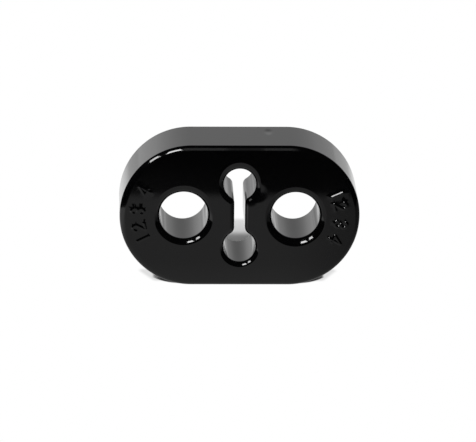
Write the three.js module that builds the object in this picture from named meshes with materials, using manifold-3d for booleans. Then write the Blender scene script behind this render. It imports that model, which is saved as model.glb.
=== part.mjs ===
// Exhaust hanger: one block of moulded polyurethane that holds an exhaust pipe under a car.
// One bore slides over a rod on the body, the other over a rod on the exhaust, and the relief
// between them, two holes joined by a slot, lets the block stretch and soak up vibration.
//
// Millimetres, +Z up. The block stands on its long flat side, with its front face towards -Y.
// The origin is the middle of the side that it stands on.

import * as THREE from 'three';
import { mergeVertices } from 'three/addons/utils/BufferGeometryUtils.js';
import Module from 'manifold-3d';

// The block, a straight-sided bar with half-round ends
const LENGTH = 74.2;
const HEIGHT = 44.4;
const THICKNESS = 25.4;

// The two bores that slide over the rods
const BORE_DIAMETER = 15;
const BORE_SPACING = 34.6;

// The relief between the bores: a hole above, a hole below and the slot that joins them
const RELIEF_DIAMETER = 10;
const RELIEF_SPACING = 19.7;
const SLOT_WIDTH = 3.3;

// The mould rounds every edge of the front face, and the bores' edges there more widely than
// the rest, while the back is struck off flat
const FRONT_EDGE_RADIUS = 1.6;
const BORE_EDGE_RADIUS = 2.1;
const BACK_EDGE_RADIUS = 0.4;

// Where the slot opens into a relief hole, the corner that is left on the front face
// inside the rounded edge
const SLOT_MOUTH_RADIUS = 0.4;

// How finely the round forms are cut into flats
const FACET_ANGLE = THREE.MathUtils.degToRad(6);
const FRONT_EDGE_STEPS = 5;
const BACK_EDGE_STEPS = 2;
const SHORTEST_EDGE = 0.001;

// The rubber's look
const RUBBER_COLOUR = 0x0b0b0c;
const RUBBER_ROUGHNESS = 0.22;

const QUARTER_TURN = Math.PI / 2;

// The block's outline: straight top and bottom, and a half circle at each end
function blockOutline() {
  const endRadius = HEIGHT / 2;
  const endCentre = LENGTH / 2 - endRadius;
  const outline = new THREE.Path();
  outline.moveTo(-endCentre, -endRadius);
  outline.lineTo(endCentre, -endRadius);
  outline.absarc(endCentre, 0, endRadius, -QUARTER_TURN, QUARTER_TURN, false);
  outline.lineTo(-endCentre, endRadius);
  outline.absarc(-endCentre, 0, endRadius, QUARTER_TURN, 3 * QUARTER_TURN, false);
  return outline;
}

// A square around the middle that the whole block fits in with room to spare
function roomyOutline() {
  const halfSide = LENGTH + HEIGHT;
  const outline = new THREE.Path();
  outline.moveTo(-halfSide, -halfSide);
  outline.lineTo(halfSide, -halfSide);
  outline.lineTo(halfSide, halfSide);
  outline.lineTo(-halfSide, halfSide);
  outline.closePath();
  return outline;
}

// The two rod bores, left and right
function boreOutlines() {
  return [-1, 1].map((side) => {
    const outline = new THREE.Path();
    outline.absarc(side * BORE_SPACING / 2, 0, BORE_DIAMETER / 2, 0, 2 * Math.PI, false);
    return outline;
  });
}

// The relief: two round holes whose walls run through rounded corners into the slot's sides.
// Each corner is an arc that touches both the slot's side and the hole.
function reliefOutline() {
  const holeRadius = RELIEF_DIAMETER / 2;
  const holeCentre = RELIEF_SPACING / 2;
  const halfSlot = SLOT_WIDTH / 2;
  const cornerRadius = FRONT_EDGE_RADIUS + SLOT_MOUTH_RADIUS;
  const cornerX = halfSlot + cornerRadius;
  const cornerRise = Math.sqrt((holeRadius + cornerRadius) ** 2 - cornerX ** 2);
  const cornerY = holeCentre - cornerRise;
  const lean = Math.atan2(cornerRise, cornerX);

  const outline = new THREE.Path();
  outline.moveTo(halfSlot, -cornerY);
  outline.lineTo(halfSlot, cornerY);
  outline.absarc(cornerX, cornerY, cornerRadius, Math.PI, Math.PI - lean, true);
  outline.absarc(0, holeCentre, holeRadius, -lean, Math.PI + lean, false);
  outline.absarc(-cornerX, cornerY, cornerRadius, lean, 0, true);
  outline.lineTo(-halfSlot, -cornerY);
  outline.absarc(-cornerX, -cornerY, cornerRadius, 0, -lean, true);
  outline.absarc(0, -holeCentre, holeRadius, Math.PI - lean, 2 * Math.PI + lean, false);
  outline.absarc(cornerX, -cornerY, cornerRadius, Math.PI + lean, Math.PI, true);
  return outline;
}

// A closed outline's points, with each arc cut into flats of about the same angle.
// Rounding leaves joins of no length between a path's curves, and those are passed over.
function facetPoints(outline) {
  const drawn = outline.curves.filter((curve) => curve.getLength() > SHORTEST_EDGE);
  return drawn.flatMap((curve) => {
    const turn = curve.isEllipseCurve ? Math.abs(curve.aEndAngle - curve.aStartAngle) : 0;
    const flats = Math.max(1, Math.round(turn / FACET_ANGLE));
    return curve.getPoints(flats).slice(1);
  });
}

// An outline with holes in it, drawn out along Z between two faces, with every edge at both
// faces rounded
function roundedBar(outline, holes, length, edgeRadius, edgeSteps) {
  const section = new THREE.Shape(facetPoints(outline));
  section.holes = holes.map((hole) => new THREE.Path(facetPoints(hole)));
  const bar = new THREE.ExtrudeGeometry(section, {
    depth: length - 2 * edgeRadius,
    bevelThickness: edgeRadius,
    bevelSize: edgeRadius,
    bevelOffset: -edgeRadius,
    bevelSegments: edgeSteps,
  });
  bar.translate(0, 0, edgeRadius);
  return bar;
}

const wasm = await Module();
wasm.setup();

function toSolid(geometry) {
  const bare = geometry.clone();
  bare.deleteAttribute('normal');
  bare.deleteAttribute('uv');
  const merged = mergeVertices(bare);
  return new wasm.Manifold(new wasm.Mesh({
    numProp: 3,
    vertProperties: new Float32Array(merged.attributes.position.array),
    triVerts: new Uint32Array(merged.index.array),
  }));
}

function toGeometry(solid) {
  const mesh = solid.getMesh();
  const geometry = new THREE.BufferGeometry();
  geometry.setAttribute('position', new THREE.BufferAttribute(mesh.vertProperties, mesh.numProp));
  geometry.setIndex(new THREE.BufferAttribute(mesh.triVerts, 1));
  geometry.computeVertexNormals();
  return geometry;
}

// The block is what three longer bars share. Two of them end in the front face, one with the
// rounding of the block's rim and relief and the other with that of the bores. The third ends
// in the back face with its narrow rounding. Each runs on past the opposite face.
function blockGeometry() {
  const block = blockOutline();
  const bores = boreOutlines();
  const relief = reliefOutline();
  const barLength = 2 * THICKNESS;
  const rimBar = roundedBar(block, [relief], barLength, FRONT_EDGE_RADIUS, FRONT_EDGE_STEPS);
  const boreBar = roundedBar(roomyOutline(), bores, barLength, BORE_EDGE_RADIUS, FRONT_EDGE_STEPS);
  const backBar = roundedBar(block, [...bores, relief], barLength, BACK_EDGE_RADIUS, BACK_EDGE_STEPS);
  rimBar.translate(0, 0, THICKNESS / 2 - barLength);
  boreBar.translate(0, 0, THICKNESS / 2 - barLength);
  backBar.translate(0, 0, -THICKNESS / 2);
  return toGeometry(toSolid(rimBar).intersect(toSolid(boreBar)).intersect(toSolid(backBar)));
}

function hangerBlock() {
  const rubber = new THREE.MeshStandardMaterial({
    color: RUBBER_COLOUR,
    roughness: RUBBER_ROUGHNESS,
    metalness: 0,
  });
  const block = new THREE.Mesh(blockGeometry(), rubber);
  block.name = 'hanger_block';
  block.rotation.x = QUARTER_TURN;
  block.position.z = HEIGHT / 2;
  return block;
}

const hanger = new THREE.Group();
hanger.name = 'exhaust_hanger';
hanger.add(hangerBlock());

export default hanger;
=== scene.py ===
"""The looks of an exhaust hanger: one block of black polyurethane, cast in a mould.

The front face and its rounded edges come from the polished bottom of the mould, so they
shine. The walls of the block and of its holes come from duller steel, and are satin.
The block's sizes are in millimetres and become metres when its mesh is made. The camera, the
lamps, the floor and the places in the materials are in metres.
"""

import math

import bpy
import numpy as np
from mathutils import Matrix, Quaternion, Vector
from mathutils.geometry import delaunay_2d_cdt
from mathutils.kdtree import KDTree


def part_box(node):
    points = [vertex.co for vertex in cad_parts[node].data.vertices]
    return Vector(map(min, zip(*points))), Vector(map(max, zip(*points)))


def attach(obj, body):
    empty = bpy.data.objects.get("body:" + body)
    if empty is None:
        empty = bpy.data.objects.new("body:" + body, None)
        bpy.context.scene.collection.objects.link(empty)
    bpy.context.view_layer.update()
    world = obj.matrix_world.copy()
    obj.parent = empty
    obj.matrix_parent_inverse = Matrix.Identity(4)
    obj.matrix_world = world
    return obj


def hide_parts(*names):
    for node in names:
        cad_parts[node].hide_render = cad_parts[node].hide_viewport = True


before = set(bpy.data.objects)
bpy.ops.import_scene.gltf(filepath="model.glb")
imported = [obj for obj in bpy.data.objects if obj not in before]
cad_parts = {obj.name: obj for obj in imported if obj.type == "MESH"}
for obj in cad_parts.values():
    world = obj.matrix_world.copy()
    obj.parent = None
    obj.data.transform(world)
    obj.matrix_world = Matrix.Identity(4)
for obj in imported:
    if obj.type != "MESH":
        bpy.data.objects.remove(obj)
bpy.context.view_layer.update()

NODE = "hanger_block"
MM = 0.001

# The block's overall sizes come from the frame
NODE_LOW, NODE_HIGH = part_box(NODE)
LENGTH, THICKNESS, HEIGHT = (NODE_HIGH - NODE_LOW) / MM
FRONT_Y = NODE_LOW.y / MM
BACK_Y = NODE_HIGH.y / MM
MIDDLE_Z = (NODE_LOW.z + NODE_HIGH.z) / 2 / MM

# The holes and edges
BORE_RADIUS = 7.5
BORE_SPACING = 34.6
RELIEF_RADIUS = 5
RELIEF_SPACING = 19.7
SLOT_WIDTH = 3.3
FRONT_EDGE_RADIUS = 1.6
BORE_EDGE_RADIUS = 2.1
BACK_EDGE_RADIUS = 0.4
SLOT_CORNER_RADIUS = 2

# The mould was finished by hand, so its roundings differ a little from place to place. At the
# top of each hole and at the block's left end they reach less far back than they reach inwards.
# None of them reaches back as far as WIDEST_EDGE, where the plain walls begin.
RELIEF_TOP_EXTRA = 0.8
BORE_TOP_EXTRA = {-1: 0.2, 1: -0.25}
LEFT_EXTRA = 0.5
FLATNESS = 0.4
WIDEST_EDGE = 2.5

# How finely the mesh is drawn
RIM_STEP = 0.45
FRONT_EDGE_STEPS = 12
BACK_EDGE_STEPS = 5
WALL_STEP = 1.2
FACE_STEP = 1.2
RIDGE_STEP = 0.13
STROKE_ARC_POINTS = 13
MERGE_DISTANCE = 1e-7

# A direction counts as lying along an axis when the first of these shares of it does, and as
# turned towards the axis from the second
ALONG_AXIS = 0.999
TOWARDS_AXIS = 0.001

# The two finishes, by their place among the block's materials
GLOSS = 0
SATIN = 1

# Plain numerals that stand out of the front face round each end
LEFT_RIDGE_HEIGHT = 0.16
RIGHT_RIDGE_HEIGHT = 0.255
RIDGE_HALF_WIDTH = 0.6
RIDGE_TOP_HALF_WIDTH = 0.14
NUMERAL_HEIGHT = 3.7
NUMERAL_RADIUS = 16.6
RIGHT_NUMERAL_ANGLES = (24, 11, -9, -27)
LEFT_NUMERAL_ANGLES = (206, 193, 175, 151)

# A shallow dent in the front face beside the upper relief hole
DENT_CENTRE = (5.4, 7.5)
DENT_RADIUS = 3.7
DENT_DEPTH = 0.07
DENT_STEP = 0.4

# A nick in the top wall, behind its middle, with a long slope in front and a short one behind
NICK_X = 9.2
NICK_Y = 6.3
NICK_HALF_LENGTH = 1.6
NICK_FRONT_REACH = 5
NICK_BACK_REACH = 3.6
NICK_DEPTH = 0.1
NICK_STEP = 0.3

# The camera, fitted to the photograph's outline and holes
CAMERA_AZIMUTH = math.radians(-1.664)
CAMERA_ELEVATION = math.radians(15.254)
CAMERA_ROLL = math.radians(0.531)
CAMERA_DISTANCE = 1.635
CAMERA_TARGET = Vector((-0.000156, 0, 0.01725))
CAMERA_LENS = 397.4
SENSOR_WIDTH = 36
CAMERA_REACH = 20

# Two window-like lamps hang up at the left in front of the block, their tops leaning over to the
# left. Each is (degrees to the left, degrees up, degrees of lean, width, length, radiance), with
# the width and length in metres.
LAMP_DISTANCE = 1.15
LAMPS = (
    (18.6, 43, 22, 0.225, 0.58, 18),
    (45.8, 39.8, 55, 0.185, 0.70, 14),
)

# The plain light from all round, and the floor, a hair below the block
AMBIENT = 0.45
FLOOR_SIZE = 6
FLOOR_DROP = 0.0001

# The front's gloss and the walls' satin. Roughness is (lowest, highest), and the grain's height
# is in millimetres.
GLOSS_COLOUR = (0.0008, 0.0008, 0.0009)
GLOSS_ROUGHNESS = (0.04, 0.07)
GLOSS_GRAIN_SCALE = 900
SATIN_COLOUR = (0.012, 0.012, 0.0125)
SATIN_ROUGHNESS = (0.06, 0.09)
SATIN_GRAIN_SCALE = 3500
RUBBER_IOR = 1.5
GRAIN_HEIGHT = 0.001
GRAIN_DETAIL = 2
DRIFT_SCALE = 120
DRIFT_DETAIL = 3

# A painted reflection, a pale line, runs along the top of the front edge, where the rounding faces up
# and forwards, and is fainter in the middle. Each fade is (start, end): of the forward share of the
# surface's direction, of the height and of the place along the block.
PAINTED_SHEEN_COLOUR = 0.0145
SHEEN_FORWARD_START = (0.70, 0.83)
SHEEN_FORWARD_END = (0.955, 0.993)
SHEEN_HEIGHT = (0.0420, 0.0428)
SHEEN_LEFT = (-0.0190, -0.0165)
SHEEN_RIGHT = (0.0150, 0.0190)
SHEEN_DIP_START = (-0.0055, -0.0025)
SHEEN_DIP_END = (0.0060, 0.0085)
SHEEN_DIP_DEPTH = 0.6

# Where the slot opens into the upper relief hole, the lip is dull at the right
DULL_SPOT = (0.0034, -0.0125, 0.0274)
DULL_REACH = (0.0015, 0.0026)
DULL_SPECULAR = 0.05
PLAIN_SPECULAR = 0.5

# What the block's reflections show of the floor: a glow on the floor that only reflections see, with
# places as the (start, end) of a fade in metres. It draws a pale table in front of the block with a
# round left end. It is brighter at the left and close by and dimmer at the right, and past it there
# is dusk.
TABLE_SHINE = 0.40
TABLE_FRONT = (-0.128, -0.115)
TABLE_NEAR = (-0.045, -0.012)
TABLE_NEAR_SHARE = 1.2
TABLE_LEFT = (-0.085, -0.045)
TABLE_LEFT_SHARE = 2.2
TABLE_END = (-0.0355, -0.0127)
TABLE_END_RADIUS = (0.150, 0.165)
TABLE_RIGHT = (0.010, 0.045)
TABLE_RIGHT_SHARE = 0.6
FAR_RIGHT = (0.050, 0.080)
FAR_RIGHT_SHARE = 0.45
DUSK_SHINE = 0.045
DUSK_FRONT = (-0.170, -0.125)
DUSK_RIGHT = (-0.030, 0.020)
DUSK_RIGHT_SHARE = 0.3

# Behind the block the glow is nearly white on both sides and dims with distance, sooner at the
# right. Straight behind the block it dims sooner still, a painted shadow of the block in its
# reflections. It all ends at two lines that spread apart with distance.
BACK_START = (0.020, 0.050)
BACK_SIDE_SHINE = 0.92
BACK_FAR_SHINE = 0.60
BACK_FADE = (0.115, 0.265)
BACK_FADE_SLANT = 0.35
BACK_SPREAD = 0.55
BACK_EDGE = (0.045, 0.075)
BACK_MIDDLE_SHINE = 0.9
BACK_MIDDLE_FAR_SHINE = 0.42
BACK_MIDDLE_FADE = (0.080, 0.125)
BACK_MIDDLE_SIDE = (0.030, 0.050)

# Where the floor keeps its shadow for the camera. Beyond, it fades to plain white. Towards the
# block's ends the front of the shadow curves back, by SHADOW_CURVE times the cube of the way past
# SHADOW_CURVE_START.
SHADOW_FRONT = (-0.0104, -0.0093)
SHADOW_SIDE = (0.0260, 0.0270)
SHADOW_CURVE_START = 0.015
SHADOW_CURVE = 4400
SHADOW_BACK = (0.0635, 0.0685)
FLOOR_ALBEDO = 0.82

# Under the block's front half a darker shadow is painted into the floor's colour, which shows at its
# round ends
CONTACT_SIDE = (0.0238, 0.0268)
CONTACT_BACK = (0.000, 0.005)
CONTACT_SHARE = 0.32

# Just outside the shadow's ends a faint halo of grey shade is painted into the plain floor, which
# slants outwards to the back
HALO_SIDE = (0.0280, 0.0300)
HALO_SLANT = 0.385
HALO_SLANT_END = 0.004
HALO_FRONT = (-0.0085, -0.0055)
HALO_BACK = (0.0045, 0.0080)
HALO_SHINE = 0.74

# Close behind the middle of the block a deeper shadow is painted into the floor's colour
DEEP_BACK = (0.0445, 0.0525)
DEEP_SIDE = (0.010, 0.016)
DEEP_SHARE = 0.43

# The room in the block's reflections. It is dark in front. Behind the block is a pale backdrop
# that dims upwards, given by (the sine of the elevation, brightness), and from left to right. It
# reaches about 24 degrees to each side of straight back.
BACKDROP = ((0, 0.62), (0.14, 0.59), (0.26, 0.42), (0.42, 0.11), (0.58, 0))
BACKDROP_ACROSS = (-0.25, 0.25)
BACKDROP_LEFT_SHARE = 1.12
BACKDROP_RIGHT_SHARE = 0.80
BACKDROP_SPREAD = 0.45
BACKDROP_EDGE = (0, 0.1)
ROOM_DARK = 0.004

# A mix node has sockets of the same names for each kind of value, so its colour ones go by number
MIX_COLOUR_INPUTS = (0, 6, 7)
MIX_COLOUR_OUTPUT = 2


def arc(centre, radius, start, end):
    """Points on an arc and the directions out of the rubber there, but not the arc's last point.

    An arc that turns anticlockwise has the rubber inside it, and one that turns clockwise
    has it outside. Angles are in radians, and the front face is seen with +X to the right.
    """
    count = max(2, math.ceil(abs(end - start) * radius / RIM_STEP))
    angles = np.linspace(start, end, count, endpoint=False)
    spokes = np.column_stack((np.cos(angles), np.sin(angles)))
    return np.column_stack((centre + radius * spokes, np.sign(end - start) * spokes))


def straight(start, end, places):
    """Points at the given shares of a straight stretch of rim, and the direction out of the rubber."""
    start, end = np.array(start, float), np.array(end, float)
    along = (end - start) / np.linalg.norm(end - start)
    outward = np.array((along[1], -along[0]))
    points = start + np.outer(places, end - start)
    return np.column_stack((points, np.tile(outward, (len(points), 1))))


def even_places(length, step):
    return np.linspace(0, 1, max(1, math.ceil(length / step)), endpoint=False)


def block_rim():
    """The block's outline, anticlockwise, with points close together across the nick."""
    end_radius = HEIGHT / 2
    end_centre = LENGTH / 2 - end_radius
    flat = 2 * end_centre
    across_nick = np.arange(-NICK_HALF_LENGTH, NICK_HALF_LENGTH, NICK_STEP)
    near_nick = (end_centre - NICK_X + across_nick) / flat
    bottom_places = even_places(flat, RIM_STEP)
    before = bottom_places < near_nick[0] - NICK_STEP / flat
    after = bottom_places > near_nick[-1] + NICK_STEP / flat
    top_places = np.sort(np.concatenate((bottom_places[before | after], near_nick)))
    return np.vstack((
        straight((-end_centre, -end_radius), (end_centre, -end_radius), bottom_places),
        arc((end_centre, 0), end_radius, -math.pi / 2, math.pi / 2),
        straight((end_centre, end_radius), (-end_centre, end_radius), top_places),
        arc((-end_centre, 0), end_radius, math.pi / 2, 3 * math.pi / 2),
    ))


def bore_rim(side):
    return arc((side * BORE_SPACING / 2, 0), BORE_RADIUS, 2 * math.pi, 0)


def relief_rim():
    """The relief's outline, clockwise: round holes that run through rounded corners into the slot."""
    half_slot = SLOT_WIDTH / 2
    hole_z = RELIEF_SPACING / 2
    corner_x = half_slot + SLOT_CORNER_RADIUS
    corner_rise = math.sqrt((RELIEF_RADIUS + SLOT_CORNER_RADIUS) ** 2 - corner_x ** 2)
    corner_z = hole_z - corner_rise
    lean = math.atan2(corner_rise, corner_x)
    slot_places = even_places(2 * corner_z, RIM_STEP)
    return np.vstack((
        straight((-half_slot, -corner_z), (-half_slot, corner_z), slot_places),
        arc((-corner_x, corner_z), SLOT_CORNER_RADIUS, 0, lean),
        arc((0, hole_z), RELIEF_RADIUS, math.pi + lean, -lean),
        arc((corner_x, corner_z), SLOT_CORNER_RADIUS, math.pi - lean, math.pi),
        straight((half_slot, corner_z), (half_slot, -corner_z), slot_places),
        arc((corner_x, -corner_z), SLOT_CORNER_RADIUS, math.pi, math.pi + lean),
        arc((0, -hole_z), RELIEF_RADIUS, lean, -math.pi - lean),
        arc((-corner_x, -corner_z), SLOT_CORNER_RADIUS, -lean, 0),
    ))


def flattened(reach, share):
    """A rounding that reaches less far backwards where the share is higher."""
    return reach, reach * (1 - FLATNESS * share)


def block_lip(rim):
    """How far the rounding of the block's front edge reaches inwards and backwards, point by point."""
    left = np.clip(-rim[:, 2], 0, 1) ** 2
    return flattened(FRONT_EDGE_RADIUS + LEFT_EXTRA * left, left)


def at_top(rim):
    """How near each point of a hole's rim is to the hole's top."""
    return np.clip(-rim[:, 3], 0, 1) ** 2


def bore_lip(side, rim):
    return flattened(BORE_EDGE_RADIUS - BORE_TOP_EXTRA[side] * rim[:, 3], at_top(rim))


def relief_lip(rim):
    near_top = np.clip((rim[:, 1] - RELIEF_SPACING / 2) / RELIEF_RADIUS, 0, 1)
    return flattened(FRONT_EDGE_RADIUS + RELIEF_TOP_EXTRA * near_top ** 2, at_top(rim))


def edge_rows(steps, inwards, backwards):
    """An edge's rounding, row by row from the face to the wall, for the reaches of its points.

    Each row is (how far it lies inside the wall, how far behind the face, its forward share).
    """
    rows = []
    for turn in np.linspace(0, math.pi / 2, steps + 1):
        sideways, forward = math.sin(turn) / inwards, math.cos(turn) / backwards
        share = forward / np.hypot(sideways, forward)
        rows.append(((1 - math.sin(turn)) * inwards, (1 - math.cos(turn)) * backwards, share))
    return rows


def wall_depths():
    """The depths of the wall's rows between its two roundings, close together at the nick."""
    start = FRONT_Y + WIDEST_EDGE
    end = BACK_Y - BACK_EDGE_RADIUS
    coarse = np.linspace(start, end, math.ceil((end - start) / WALL_STEP) + 1)[1:-1]
    near_nick = NICK_Y + np.arange(-NICK_FRONT_REACH, NICK_BACK_REACH, NICK_STEP)
    coarse = coarse[(coarse < near_nick[0] - NICK_STEP) | (coarse > near_nick[-1] + NICK_STEP)]
    return np.sort(np.concatenate((coarse, near_nick)))


def rim_rows(lip):
    """Every row of a rim's surface from the front face to the back.

    Each row is (inset, depth, forward share, backward share), with one number for each point of
    the rim. The shares are how much of the surface's direction is forwards and backwards.
    """
    none = np.zeros(len(lip[0]))
    back_reach = np.full(len(none), BACK_EDGE_RADIUS)
    front_edge = edge_rows(FRONT_EDGE_STEPS, *lip)
    back_edge = reversed(edge_rows(BACK_EDGE_STEPS, back_reach, back_reach))
    rows = [(inset, FRONT_Y + behind, share, none) for inset, behind, share in front_edge]
    rows += [(none, none + depth, none, none) for depth in wall_depths()]
    rows += [(inset, BACK_Y - behind, none, share) for inset, behind, share in back_edge]
    return rows


def stroke_arc(centre, radius, start, end):
    """A numeral's round stroke as points, with angles in degrees."""
    angles = np.radians(np.linspace(start, end, STROKE_ARC_POINTS))
    x = centre[0] + radius * np.cos(angles)
    y = centre[1] + radius * np.sin(angles)
    return np.column_stack((x, y))


def numerals():
    """The strokes of the plain numerals 1 to 4, one unit high and centred on the origin."""
    bowl = 0.25
    one = np.array(((0, -0.5), (0, 0.5)))
    two_foot = ((-0.27, -0.5), (0.27, -0.5))
    two = np.vstack((stroke_arc((0, bowl), bowl, 160, -40), two_foot))
    three_top = stroke_arc((0, bowl), bowl, 150, -90)
    three_foot = stroke_arc((0, -bowl), bowl, 90, -150)
    four = np.array(((0.12, -0.5), (0.12, 0.5), (-0.28, -0.18), (0.3, -0.18)))
    return ([one], [two], [three_top, three_foot], [four])


def placed_stroke(stroke, centre, reading, top):
    """A stroke where its numeral stands, given the ways that it reads and that its top points."""
    return centre + NUMERAL_HEIGHT * (np.outer(stroke[:, 0], reading) + np.outer(stroke[:, 1], top))


def placed_numerals():
    """Each numeral's strokes where they stand on the front face, tops outwards."""
    end_centre = LENGTH / 2 - HEIGHT / 2
    placed = []
    for side, angles in ((1, RIGHT_NUMERAL_ANGLES), (-1, LEFT_NUMERAL_ANGLES)):
        for strokes, angle in zip(numerals(), np.radians(angles)):
            top = np.array((math.cos(angle), math.sin(angle)))
            reading = np.array((top[1], -top[0]))
            centre = np.array((side * end_centre, 0)) + NUMERAL_RADIUS * top
            placed.append([placed_stroke(stroke, centre, reading, top) for stroke in strokes])
    return placed


def stroke_distance(points, stroke):
    """How far each point is from a line of points."""
    nearest = np.full(len(points), np.inf)
    for start, end in zip(stroke[:-1], stroke[1:]):
        along = end - start
        share = np.clip((points - start) @ along / (along @ along), 0, 1)
        away = points - start - np.outer(share, along)
        nearest = np.minimum(nearest, np.linalg.norm(away, axis=1))
    return nearest


def numeral_distance(points):
    strokes = [stroke for numeral in placed_numerals() for stroke in numeral]
    return np.min([stroke_distance(points, stroke) for stroke in strokes], axis=0)


def ridge(distance):
    """A ridge 1 unit high with straight flanks and a narrow flat top."""
    return np.clip((RIDGE_HALF_WIDTH - distance) / (RIDGE_HALF_WIDTH - RIDGE_TOP_HALF_WIDTH), 0, 1)


def hump(distance, reach):
    """A smooth hump, 1 at no distance and level with its surroundings at its reach."""
    return (1 + np.cos(math.pi * np.clip(distance / reach, 0, 1))) / 2


def dent_distance(points):
    return np.linalg.norm(points - DENT_CENTRE, axis=1)


def dent_fall(points):
    return DENT_DEPTH * hump(dent_distance(points), DENT_RADIUS)


def face_rise(points):
    """How far the front face stands forward of its plane: the numerals' ridges less the dent."""
    height = np.where(points[:, 0] < 0, LEFT_RIDGE_HEIGHT, RIGHT_RIDGE_HEIGHT)
    return height * ridge(numeral_distance(points)) - dent_fall(points)


def ridge_points():
    """A fine grid of points over each numeral's strokes."""
    reach = RIDGE_HALF_WIDTH + RIDGE_STEP
    found = []
    for strokes in placed_numerals():
        corners = np.vstack(strokes)
        low, high = corners.min(axis=0) - reach, corners.max(axis=0) + reach
        across = np.arange(low[0], high[0], RIDGE_STEP)
        up = np.arange(low[1], high[1], RIDGE_STEP)
        grid = np.stack(np.meshgrid(across, up), axis=-1).reshape(-1, 2)
        distance = np.min([stroke_distance(grid, stroke) for stroke in strokes], axis=0)
        found.append(grid[distance < reach])
    return np.vstack(found)


def inside(points, loop):
    """Which points lie inside a closed loop, counting the sides that a ray from each one crosses."""
    within = np.zeros(len(points), bool)
    for (x1, z1), (x2, z2) in zip(loop, np.roll(loop, -1, axis=0)):
        if z1 == z2:
            continue
        crosses = (z1 > points[:, 1]) != (z2 > points[:, 1])
        within ^= crosses & (points[:, 0] < x1 + (points[:, 1] - z1) * (x2 - x1) / (z2 - z1))
    return within


def on_face(points, loops):
    """Which points lie on the rubber between the outer loop and the holes' loops."""
    on_rubber = inside(points, loops[0])
    for hole in loops[1:]:
        on_rubber &= ~inside(points, hole)
    return on_rubber


def clear_of(points, others, distance):
    """The points that are at least a distance from every one of the others."""
    tree = KDTree(len(others))
    for index, (x, z) in enumerate(others):
        tree.insert((x, z, 0), index)
    tree.balance()
    return points[[tree.find((x, z, 0))[2] >= distance for x, z in points]]


def face_grid(loops, step):
    """A square grid of points over the rubber between the loops."""
    across = np.arange(-LENGTH / 2, LENGTH / 2, step)
    up = np.arange(-HEIGHT / 2, HEIGHT / 2, step)
    grid = np.stack(np.meshgrid(across, up), axis=-1).reshape(-1, 2)
    return grid[on_face(grid, loops)]


def face_points(loops):
    """The front face's inner points: fine over the numerals and the dent, coarse elsewhere."""
    borders = np.vstack(loops)
    ridges = ridge_points()
    dent = face_grid(loops, DENT_STEP)
    dent = clear_of(dent[dent_distance(dent) < DENT_RADIUS + DENT_STEP], borders, DENT_STEP / 2)
    taken = np.vstack((borders, ridges, dent))
    return np.vstack((ridges, dent, clear_of(face_grid(loops, FACE_STEP), taken, FACE_STEP / 2)))


def fill(loops, points):
    """Triangles over the rubber between the loops, with a corner at every given point.

    Returns the points, those of the loops first, and the triangles.
    """
    sides, first = [], 0
    for loop in loops:
        count = len(loop)
        sides += [(first + i, first + (i + 1) % count) for i in range(count)]
        first += count
    given = [Vector(p) for p in np.vstack((*loops, points))]
    placed, _, triangles, *_ = delaunay_2d_cdt(given, sides, [], 0, MERGE_DISTANCE)
    placed = np.array(placed)
    triangles = np.array(triangles)
    middles = placed[triangles].mean(axis=1)
    return placed, triangles[on_face(middles, loops)]


def nick_depth(points):
    """How deep the nick cuts at points of the top wall, given as (x, y): steeper at its back."""
    across = (points[:, 0] - NICK_X) / NICK_HALF_LENGTH
    behind = points[:, 1] - NICK_Y
    along = behind / np.where(behind > 0, NICK_BACK_REACH, NICK_FRONT_REACH)
    share = np.clip(1 - np.hypot(across, along), 0, 1)
    return NICK_DEPTH * share * share * (3 - 2 * share)


class Skin:
    """A mesh in the making: its points, their directions out of the rubber, its faces and finishes."""

    def __init__(self):
        self.points = []
        self.outward = []
        self.faces = []
        self.finishes = []

    def add(self, points, outward):
        first = len(self.points)
        self.points.extend(map(tuple, points))
        self.outward.extend(map(tuple, outward))
        return first


def add_rim(skin, rim, rows):
    """The surface that a rim sweeps from the front face to the back. Returns its first and last row."""
    count = len(rim)
    starts = []
    for inset, depth, forward, backward in rows:
        sideways = np.sqrt(np.clip(1 - forward ** 2 - backward ** 2, 0, 1))
        flat = rim[:, :2] - inset[:, None] * rim[:, 2:]
        points = np.column_stack((flat[:, 0], depth, flat[:, 1]))
        turned = (sideways * rim[:, 2], backward - forward, sideways * rim[:, 3])
        on_top = (rim[:, 3] > ALONG_AXIS) & (rim[:, 1] > 0)
        points[:, 2] -= on_top * nick_depth(points[:, :2])
        points[:, 1] += forward * dent_fall(flat)
        starts.append(skin.add(points, np.column_stack(turned)))
    for row, (start, below) in enumerate(zip(starts[:-1], starts[1:])):
        finish = GLOSS if row < FRONT_EDGE_STEPS else SATIN
        for i in range(count):
            j = (i + 1) % count
            skin.faces.append((start + i, below + i, below + j, start + j))
            skin.finishes.append(finish)
    return starts[0], starts[-1]


def add_face(skin, loops, rim_starts, inner, forward):
    """The front or back face between the rims' rows, with the front's inner points on its relief."""
    placed, triangles = fill(loops, inner)
    borders = [np.arange(start, start + len(loop)) for start, loop in zip(rim_starts, loops)]
    rim_index = np.concatenate(borders)
    added = placed[len(rim_index):]
    depth = np.full(len(added), BACK_Y)
    facing = 1
    if forward:
        depth = FRONT_Y - face_rise(added)
        facing = -1
    points = np.column_stack((added[:, 0], depth, added[:, 1]))
    first = skin.add(points, np.tile((0, facing, 0), (len(points), 1)))
    index = np.concatenate((rim_index, np.arange(first, first + len(points))))
    for a, b, c in index[triangles]:
        skin.faces.append((int(a), int(b), int(c)) if forward else (int(a), int(c), int(b)))
        skin.finishes.append(GLOSS if forward else SATIN)


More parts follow.
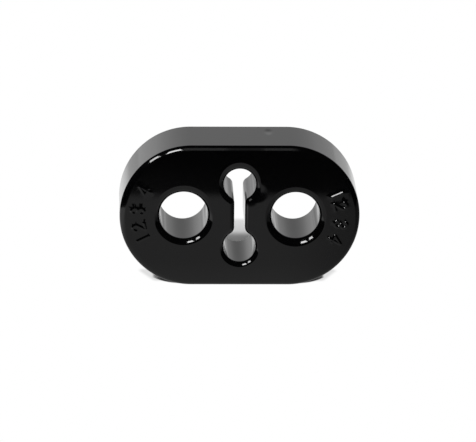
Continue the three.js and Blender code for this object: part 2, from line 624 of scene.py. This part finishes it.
def block_mesh():
    skin = Skin()
    rims = [block_rim(), bore_rim(-1), bore_rim(1), relief_rim()]
    lips = [block_lip(rims[0]), bore_lip(-1, rims[1]), bore_lip(1, rims[2]), relief_lip(rims[3])]
    ends = [add_rim(skin, rim, rim_rows(lip)) for rim, lip in zip(rims, lips)]
    front_starts, back_starts = zip(*ends)
    front_loops = [rim[:, :2] - lip[0][:, None] * rim[:, 2:] for rim, lip in zip(rims, lips)]
    back_loops = [rim[:, :2] - BACK_EDGE_RADIUS * rim[:, 2:] for rim in rims]
    add_face(skin, front_loops, front_starts, face_points(front_loops), forward=True)
    add_face(skin, back_loops, back_starts, np.empty((0, 2)), forward=False)

    points = (np.array(skin.points) + (0, 0, MIDDLE_Z)) * MM
    mesh = bpy.data.meshes.new("block")
    mesh.from_pydata(points, [], skin.faces)
    mesh.polygons.foreach_set("material_index", skin.finishes)
    mesh.polygons.foreach_set("use_smooth", [True] * len(skin.faces))
    mesh.update()
    mesh.normals_split_custom_set_from_vertices(shading_directions(mesh, np.array(skin.outward)))
    return mesh


def shading_directions(mesh, outward):
    """Each point's shading direction: the mesh's own on the small relief, the true one elsewhere."""
    own = np.array([v.vector for v in mesh.vertex_normals])
    points = np.array([v.co for v in mesh.vertices]) / MM - (0, 0, MIDDLE_Z)
    across_front = points[:, [0, 2]]
    on_numeral = numeral_distance(across_front) < RIDGE_HALF_WIDTH + RIDGE_STEP
    in_dent = dent_distance(across_front) < DENT_RADIUS
    in_nick = nick_depth(points[:, :2]) > 0
    on_relief = on_numeral & (outward[:, 1] < -ALONG_AXIS)
    on_relief |= in_dent & (outward[:, 1] < -TOWARDS_AXIS)
    on_relief |= in_nick & (outward[:, 2] > ALONG_AXIS)
    return np.where(on_relief[:, None], own, outward)


def node_tree(material):
    material.use_nodes = True
    tree = material.node_tree
    tree.nodes.clear()
    return tree


def add_node(tree, kind, **settings):
    node = tree.nodes.new(kind)
    for name, value in settings.items():
        setattr(node, name, value)
    return node


def math_node(tree, operation, first, second=None):
    node = add_node(tree, "ShaderNodeMath", operation=operation)
    for socket, value in zip(node.inputs, (first, second)):
        if isinstance(value, bpy.types.NodeSocket):
            tree.links.new(value, socket)
        elif value is not None:
            socket.default_value = value
    return node.outputs[0]


def ramp(tree, value, low, high, start=0, end=1):
    """One number up to a low value and another from a high one, with a smooth change between them."""
    node = add_node(tree, "ShaderNodeMapRange", clamp=True, interpolation_type="SMOOTHSTEP")
    tree.links.new(value, node.inputs["Value"])
    settings = (("From Min", low), ("From Max", high), ("To Min", start), ("To Max", end))
    for name, number in settings:
        node.inputs[name].default_value = number
    return node.outputs["Result"]


def product(tree, *factors):
    result = factors[0]
    for factor in factors[1:]:
        result = math_node(tree, "MULTIPLY", result, factor)
    return result


def brightest(tree, *levels):
    result = levels[0]
    for level in levels[1:]:
        result = math_node(tree, "MAXIMUM", result, level)
    return result


def inverse(tree, share):
    return math_node(tree, "SUBTRACT", 1, share)


def off_middle(tree, x):
    """How far to the left or right of the middle a place or direction is."""
    return math_node(tree, "ABSOLUTE", x)


def mix_colour(tree, factor, first, second):
    node = add_node(tree, "ShaderNodeMix", data_type="RGBA")
    sockets = [node.inputs[index] for index in MIX_COLOUR_INPUTS]
    for socket, value in zip(sockets, (factor, first, second)):
        if isinstance(value, bpy.types.NodeSocket):
            tree.links.new(value, socket)
        else:
            socket.default_value = value
    return node.outputs[MIX_COLOUR_OUTPUT]


def grey(value):
    return (value, value, value, 1)


def painted_sheen_share(tree, place):
    """How much of the painted reflection along the front edge each place of the surface has."""
    surface = add_node(tree, "ShaderNodeNewGeometry")
    facing = add_node(tree, "ShaderNodeSeparateXYZ")
    where = add_node(tree, "ShaderNodeSeparateXYZ")
    tree.links.new(surface.outputs["Normal"], facing.inputs["Vector"])
    tree.links.new(place.outputs["Object"], where.inputs["Vector"])
    forward = math_node(tree, "MULTIPLY", facing.outputs["Y"], -1)
    x, z = where.outputs["X"], where.outputs["Z"]
    dip = product(
        tree,
        ramp(tree, x, *SHEEN_DIP_START),
        ramp(tree, x, *SHEEN_DIP_END, 1, 0),
        SHEEN_DIP_DEPTH,
    )
    return product(
        tree,
        ramp(tree, forward, *SHEEN_FORWARD_START),
        ramp(tree, forward, *SHEEN_FORWARD_END, 1, 0),
        ramp(tree, z, *SHEEN_HEIGHT),
        ramp(tree, x, *SHEEN_LEFT),
        ramp(tree, x, *SHEEN_RIGHT, 1, 0),
        inverse(tree, dip),
    )


def dulled_specular(tree, place):
    """The specular level of each place of the gloss, lower at the dull spot."""
    distance = add_node(tree, "ShaderNodeVectorMath", operation="DISTANCE")
    tree.links.new(place.outputs["Object"], distance.inputs[0])
    distance.inputs[1].default_value = DULL_SPOT
    return ramp(tree, distance.outputs["Value"], *DULL_REACH, DULL_SPECULAR, PLAIN_SPECULAR)


def rubber(name, colour, roughness, grain_scale):
    """Black rubber whose roughness drifts a little, with a fine grain in its surface.

    Returns the material with its shader node and its node of coordinates.
    """
    material = bpy.data.materials.new(name)
    tree = node_tree(material)
    output = add_node(tree, "ShaderNodeOutputMaterial")
    shader = add_node(tree, "ShaderNodeBsdfPrincipled")
    place = add_node(tree, "ShaderNodeTexCoord")
    drift = add_node(tree, "ShaderNodeTexNoise")
    spread = add_node(tree, "ShaderNodeMapRange")
    grain = add_node(tree, "ShaderNodeTexNoise")
    bump = add_node(tree, "ShaderNodeBump")
    shader.inputs["Base Color"].default_value = (*colour, 1)
    shader.inputs["IOR"].default_value = RUBBER_IOR
    drift.inputs["Scale"].default_value = DRIFT_SCALE
    drift.inputs["Detail"].default_value = DRIFT_DETAIL
    spread.inputs["To Min"].default_value, spread.inputs["To Max"].default_value = roughness
    grain.inputs["Scale"].default_value = grain_scale
    grain.inputs["Detail"].default_value = GRAIN_DETAIL
    bump.inputs["Strength"].default_value = 1
    bump.inputs["Distance"].default_value = GRAIN_HEIGHT * MM
    tree.links.new(place.outputs["Object"], drift.inputs["Vector"])
    tree.links.new(place.outputs["Object"], grain.inputs["Vector"])
    tree.links.new(drift.outputs["Fac"], spread.inputs["Value"])
    tree.links.new(spread.outputs["Result"], shader.inputs["Roughness"])
    tree.links.new(grain.outputs["Fac"], bump.inputs["Height"])
    tree.links.new(bump.outputs["Normal"], shader.inputs["Normal"])
    tree.links.new(shader.outputs["BSDF"], output.inputs["Surface"])
    return material, shader, place


def gloss_rubber():
    """The gloss of the front face and its edges, with the painted reflection along the edge and the
    dull spot.
    """
    material, shader, place = rubber("gloss_rubber", GLOSS_COLOUR, GLOSS_ROUGHNESS, GLOSS_GRAIN_SCALE)
    tree = material.node_tree
    painted_sheen = painted_sheen_share(tree, place)
    # The pale line along the top of the front edge is a painted reflection in the base colour
    colour = mix_colour(tree, painted_sheen, (*GLOSS_COLOUR, 1), grey(PAINTED_SHEEN_COLOUR))
    tree.links.new(colour, shader.inputs["Base Color"])
    tree.links.new(dulled_specular(tree, place), shader.inputs["Specular IOR Level"])
    return material


def satin_rubber():
    material, _, _ = rubber("satin_rubber", SATIN_COLOUR, SATIN_ROUGHNESS, SATIN_GRAIN_SCALE)
    return material


def build_block():
    mesh = block_mesh()
    mesh.materials.append(gloss_rubber())
    mesh.materials.append(satin_rubber())
    block = bpy.data.objects.new("hanger", mesh)
    bpy.context.scene.collection.objects.link(block)
    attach(block, "root")
    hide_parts(NODE)


def end_distance(tree, x, y):
    """How far a place on the floor is from the middle of the table's round end, or from its axis."""
    across = math_node(tree, "MINIMUM", math_node(tree, "SUBTRACT", x, TABLE_END[0]), 0)
    along = math_node(tree, "SUBTRACT", y, TABLE_END[1])
    squares = (product(tree, across, across), product(tree, along, along))
    return math_node(tree, "SQRT", math_node(tree, "ADD", *squares))


def floor_glow_in_reflections(tree, x, y):
    """How bright the glow is at each place on the floor, which only the block's reflections see."""
    table = product(
        tree,
        ramp(tree, x, *TABLE_LEFT, TABLE_LEFT_SHARE * TABLE_SHINE, TABLE_SHINE),
        ramp(tree, end_distance(tree, x, y), *TABLE_END_RADIUS, 1, 0),
        ramp(tree, x, *TABLE_RIGHT, 1, TABLE_RIGHT_SHARE),
        ramp(tree, x, *FAR_RIGHT, 1, FAR_RIGHT_SHARE),
        ramp(tree, y, *TABLE_FRONT),
        ramp(tree, y, *TABLE_NEAR, 1, TABLE_NEAR_SHARE),
    )
    dusk = product(
        tree,
        ramp(tree, y, *DUSK_FRONT, 0, DUSK_SHINE),
        ramp(tree, x, *DUSK_RIGHT, 1, DUSK_RIGHT_SHARE),
    )
    back = product(tree, ramp(tree, y, *BACK_START), back_glow_in_reflections(tree, x, y))
    return brightest(tree, table, dusk, back)


def back_glow_in_reflections(tree, x, y):
    """The same behind the block, with the block's shadow painted in behind its middle."""
    slanted = math_node(tree, "ADD", y, product(tree, x, BACK_FADE_SLANT))
    sides = ramp(tree, slanted, *BACK_FADE, BACK_SIDE_SHINE, BACK_FAR_SHINE)
    middle = ramp(tree, y, *BACK_MIDDLE_FADE, BACK_MIDDLE_SHINE, BACK_MIDDLE_FAR_SHINE)
    side = off_middle(tree, x)
    sideness = ramp(tree, side, *BACK_MIDDLE_SIDE)
    at_sides = product(tree, sideness, sides)
    at_middle = product(tree, inverse(tree, sideness), middle)
    shine = math_node(tree, "ADD", at_sides, at_middle)
    beyond = math_node(tree, "SUBTRACT", side, product(tree, y, BACK_SPREAD))
    return product(tree, shine, ramp(tree, beyond, *BACK_EDGE, 1, 0))


def plain_share(tree, x, y):
    """How far each place on the floor has faded from its shadow to plain white."""
    aside = off_middle(tree, x)
    past_start = math_node(tree, "SUBTRACT", aside, SHADOW_CURVE_START)
    curved = math_node(tree, "MAXIMUM", past_start, 0)
    curve = product(tree, curved, curved, curved, SHADOW_CURVE)
    front = ramp(tree, math_node(tree, "SUBTRACT", y, curve), *SHADOW_FRONT, 1, 0)
    side = ramp(tree, aside, *SHADOW_SIDE)
    back = ramp(tree, y, *SHADOW_BACK)
    return brightest(tree, front, side, back)


def halo_shine(tree, x, y):
    """The brightness of the plain floor, with a faint painted shade just outside the shadow's ends."""
    slant = product(tree, math_node(tree, "MINIMUM", y, HALO_SLANT_END), HALO_SLANT)
    halo = product(
        tree,
        ramp(tree, math_node(tree, "SUBTRACT", off_middle(tree, x), slant), *HALO_SIDE, 1, 0),
        ramp(tree, y, *HALO_FRONT),
        ramp(tree, y, *HALO_BACK, 1, 0),
    )
    return math_node(tree, "SUBTRACT", 1, product(tree, halo, 1 - HALO_SHINE))


def floor_colour_with_painted_shadow(tree, x, y):
    """The floor's colour, with shadow painted in: darker under the block's front half and close behind
    its middle.
    """
    side = off_middle(tree, x)
    deep = product(
        tree,
        ramp(tree, y, *DEEP_BACK, 1, 0),
        ramp(tree, side, *DEEP_SIDE, 1, 0),
        1 - DEEP_SHARE,
    )
    contact = product(
        tree,
        ramp(tree, side, *CONTACT_SIDE, 1, 0),
        ramp(tree, y, *CONTACT_BACK, 1, 0),
        1 - CONTACT_SHARE,
    )
    darker = brightest(tree, deep, contact)
    return mix_colour(tree, darker, grey(FLOOR_ALBEDO), grey(0))


def floor_material():
    """A white floor that keeps the shadow near the block, deepened by painted shadow, and turns plain
    white farther away.
    """
    material = bpy.data.materials.new("white_floor")
    tree = node_tree(material)
    output = add_node(tree, "ShaderNodeOutputMaterial")
    diffuse = add_node(tree, "ShaderNodeBsdfDiffuse")
    glow = add_node(tree, "ShaderNodeEmission")
    mirrored = add_node(tree, "ShaderNodeEmission")
    seen = add_node(tree, "ShaderNodeMixShader")
    mix = add_node(tree, "ShaderNodeMixShader")
    rays = add_node(tree, "ShaderNodeLightPath")
    place = add_node(tree, "ShaderNodeNewGeometry")
    split = add_node(tree, "ShaderNodeSeparateXYZ")
    tree.links.new(place.outputs["Position"], split.inputs["Vector"])
    x, y = split.outputs["X"], split.outputs["Y"]
    tree.links.new(floor_colour_with_painted_shadow(tree, x, y), diffuse.inputs["Color"])
    plain = product(tree, plain_share(tree, x, y), rays.outputs["Is Camera Ray"])
    tree.links.new(plain, seen.inputs["Fac"])
    tree.links.new(diffuse.outputs["BSDF"], seen.inputs[1])
    tree.links.new(glow.outputs["Emission"], seen.inputs[2])
    tree.links.new(halo_shine(tree, x, y), glow.inputs["Strength"])
    # In reflections the floor shows a painted glow, with painted shadow behind the block, in place of
    # its lit colour
    tree.links.new(floor_glow_in_reflections(tree, x, y), mirrored.inputs["Strength"])
    tree.links.new(rays.outputs["Is Glossy Ray"], mix.inputs["Fac"])
    tree.links.new(seen.outputs["Shader"], mix.inputs[1])
    tree.links.new(mirrored.outputs["Emission"], mix.inputs[2])
    tree.links.new(mix.outputs["Shader"], output.inputs["Surface"])
    return material


def build_floor():
    half = FLOOR_SIZE / 2
    mesh = bpy.data.meshes.new("floor")
    corners = [(-half, -half, 0), (half, -half, 0), (half, half, 0), (-half, half, 0)]
    mesh.from_pydata(corners, [], [(0, 1, 2, 3)])
    mesh.materials.append(floor_material())
    floor = bpy.data.objects.new("floor", mesh)
    floor.location.z = -FLOOR_DROP
    bpy.context.scene.collection.objects.link(floor)


def backdrop_shine(tree, x, y, z):
    """How bright the backdrop is in each direction."""
    node = add_node(tree, "ShaderNodeValToRGB")
    stops = node.color_ramp.elements
    for index, (place, shine) in enumerate(BACKDROP):
        stop = stops[index] if index < len(stops) else stops.new(place)
        stop.position = place
        stop.color = grey(shine)
    tree.links.new(z, node.inputs["Fac"])
    beyond = math_node(tree, "SUBTRACT", off_middle(tree, x), product(tree, y, BACKDROP_SPREAD))
    across = ramp(tree, x, *BACKDROP_ACROSS, BACKDROP_LEFT_SHARE, BACKDROP_RIGHT_SHARE)
    return product(tree, node.outputs["Color"], across, ramp(tree, beyond, *BACKDROP_EDGE, 1, 0))


def build_world():
    """Plain light from all round, a white background, and the room that reflections show."""
    world = bpy.data.worlds.new("studio")
    bpy.context.scene.world = world
    world.use_nodes = True
    tree = world.node_tree
    tree.nodes.clear()
    output = add_node(tree, "ShaderNodeOutputWorld")
    background = add_node(tree, "ShaderNodeBackground")
    rays = add_node(tree, "ShaderNodeLightPath")
    place = add_node(tree, "ShaderNodeTexCoord")
    split = add_node(tree, "ShaderNodeSeparateXYZ")
    tree.links.new(place.outputs["Generated"], split.inputs["Vector"])
    backdrop = backdrop_shine(tree, *(split.outputs[axis] for axis in "XYZ"))
    reflected = brightest(tree, backdrop, ROOM_DARK)
    lit = mix_colour(tree, rays.outputs["Is Glossy Ray"], grey(AMBIENT), reflected)
    seen = mix_colour(tree, rays.outputs["Is Camera Ray"], lit, grey(1))
    tree.links.new(seen, background.inputs["Color"])
    tree.links.new(background.outputs["Background"], output.inputs["Surface"])


def build_lamps():
    for index, (left, up, lean, width, length, radiance) in enumerate(LAMPS):
        light = bpy.data.lights.new(f"window_{index}", "AREA")
        light.shape = "RECTANGLE"
        light.size = width
        light.size_y = length
        light.energy = radiance * math.pi * width * length
        lamp = bpy.data.objects.new(light.name, light)
        left, up = math.radians(left), math.radians(up)
        level = LAMP_DISTANCE * math.cos(up)
        height = LAMP_DISTANCE * math.sin(up)
        lamp.location = (-level * math.sin(left), -level * math.cos(left), height)
        lamp.rotation_mode = "QUATERNION"
        upright = Vector(lamp.location).to_track_quat("Z", "Y")
        lamp.rotation_quaternion = upright @ Quaternion((0, 0, 1), math.radians(lean))
        bpy.context.scene.collection.objects.link(lamp)


def build_camera():
    azimuth, elevation, roll = CAMERA_AZIMUTH, CAMERA_ELEVATION, CAMERA_ROLL
    back = Vector((
        math.sin(azimuth) * math.cos(elevation),
        -math.cos(azimuth) * math.cos(elevation),
        math.sin(elevation),
    ))
    level = Vector((math.cos(azimuth), math.sin(azimuth), 0))
    upright = back.cross(level)
    right = math.cos(roll) * level + math.sin(roll) * upright
    up = math.cos(roll) * upright - math.sin(roll) * level
    data = bpy.data.cameras.new("camera")
    data.lens = CAMERA_LENS
    data.sensor_width = SENSOR_WIDTH
    data.sensor_fit = "HORIZONTAL"
    data.clip_end = CAMERA_REACH
    camera = bpy.data.objects.new("camera", data)
    place = Matrix((right, up, back)).transposed().to_4x4()
    place.translation = CAMERA_TARGET + CAMERA_DISTANCE * back
    camera.matrix_world = place
    bpy.context.scene.collection.objects.link(camera)
    bpy.context.scene.camera = camera


build_block()
build_floor()
build_world()
build_lamps()
build_camera()
bpy.context.scene.view_settings.view_transform = "Standard"
